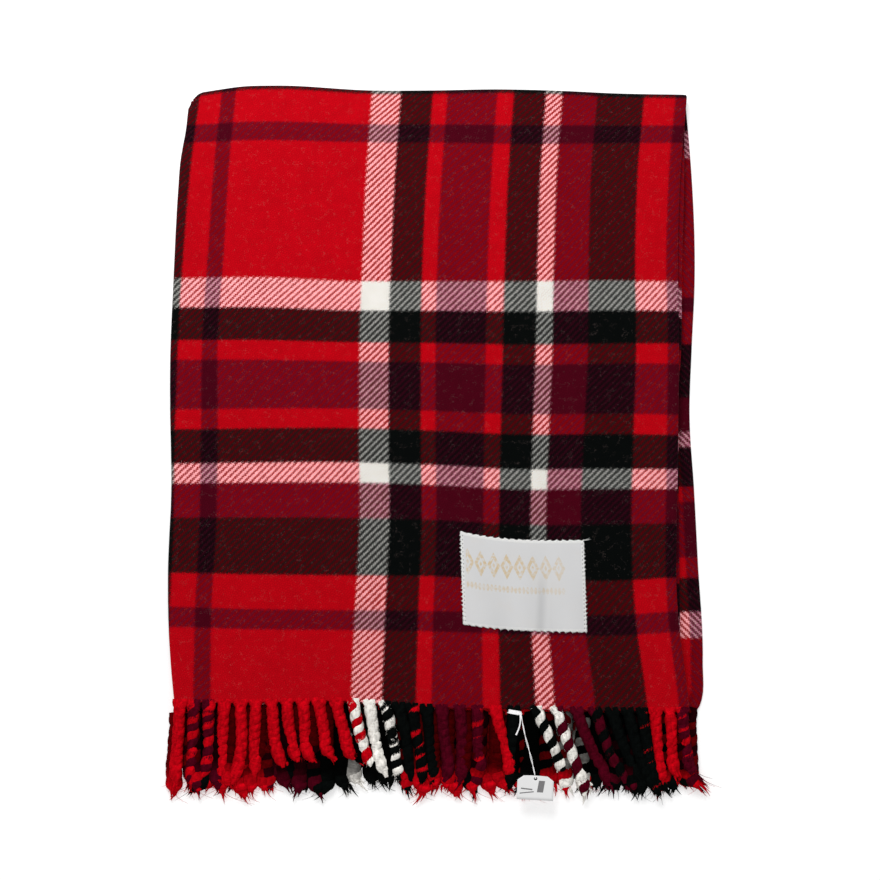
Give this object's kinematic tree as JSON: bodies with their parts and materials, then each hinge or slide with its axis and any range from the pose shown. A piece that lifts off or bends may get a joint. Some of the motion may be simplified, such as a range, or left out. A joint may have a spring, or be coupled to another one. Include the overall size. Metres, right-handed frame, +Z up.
{
  "type": "folded throw blanket",
  "caption": "Woollen tartan throw folded in four and lying flat, with twisted fringe at the hems, a sewn satin label and a small card ticket on a string.",
  "frame": {"origin": "middle of the footprint, on the surface that the folded throw lies on, with the ticket and its string left out", "axes": "+X towards the open selvedges, +Y towards the top fold, away from the fringe, +Z up through the layers"},
  "size_m": [0.661, 0.8988, 0.019],
  "materials": {
    "tartan_cloth": "brushed woollen twill in red, maroon, black and cream",
    "wool_red": "twisted soft wool",
    "wool_maroon": "twisted soft wool",
    "wool_black": "twisted soft wool",
    "wool_cream": "twisted soft wool",
    "label_satin": "white woven satin with faded gold ornament",
    "label_thread": "cream sewing thread",
    "ticket_string": "white twisted cotton string",
    "ticket_card": "smooth white card"
  },
  "bodies": {
    "back_half": {"back_half_cloth": "tartan_cloth", "bottom_fringe": "wool_red", "inner_back_fringe": "wool_black"},
    "front_half": {"front_half_cloth": "tartan_cloth", "inner_front_fringe": "wool_maroon", "tassel_01": "wool_red", "tassel_02": "wool_red", "tassel_03": "wool_maroon", "tassel_04": "wool_red", "tassel_05": "wool_red", "tassel_06": "wool_red", "tassel_07": "wool_red", "tassel_08": "wool_red", "tassel_09": "wool_red", "tassel_10": "wool_red", "tassel_11": "wool_red", "tassel_12": "wool_red", "tassel_13": "wool_cream", "tassel_14": "wool_cream", "tassel_15": "wool_black", "tassel_16": "wool_black", "tassel_17": "wool_red", "tassel_18": "wool_maroon", "tassel_19": "wool_maroon", "tassel_20": "wool_maroon", "tassel_21": "wool_red", "tassel_22": "wool_black", "tassel_23": "wool_black", "tassel_24": "wool_cream", "tassel_25": "wool_maroon", "tassel_26": "wool_maroon", "tassel_27": "wool_black", "tassel_28": "wool_black", "tassel_29": "wool_black", "tassel_30": "wool_red", "tassel_31": "wool_red", "tassel_32": "wool_maroon", "label": "label_satin", "label_stitching": "label_thread", "ticket_loop": "ticket_string"},
    "ticket": {"ticket_string": "ticket_string", "ticket_card": "ticket_card"}
  },
  "joints": [
    {"name": "top_fold", "type": "hinge", "parent": "back_half", "child": "front_half", "pos_m": [0, 0.4497, 0.00825], "axis": [-1, 0, 0], "range_deg": [0, 180]},
    {"name": "ticket_swing", "type": "hinge", "parent": "front_half", "child": "ticket", "pos_m": [0.10394, -0.3429, 0.0182], "axis": [0, 0, 1], "range_deg": [-35, 35]}
  ]
}
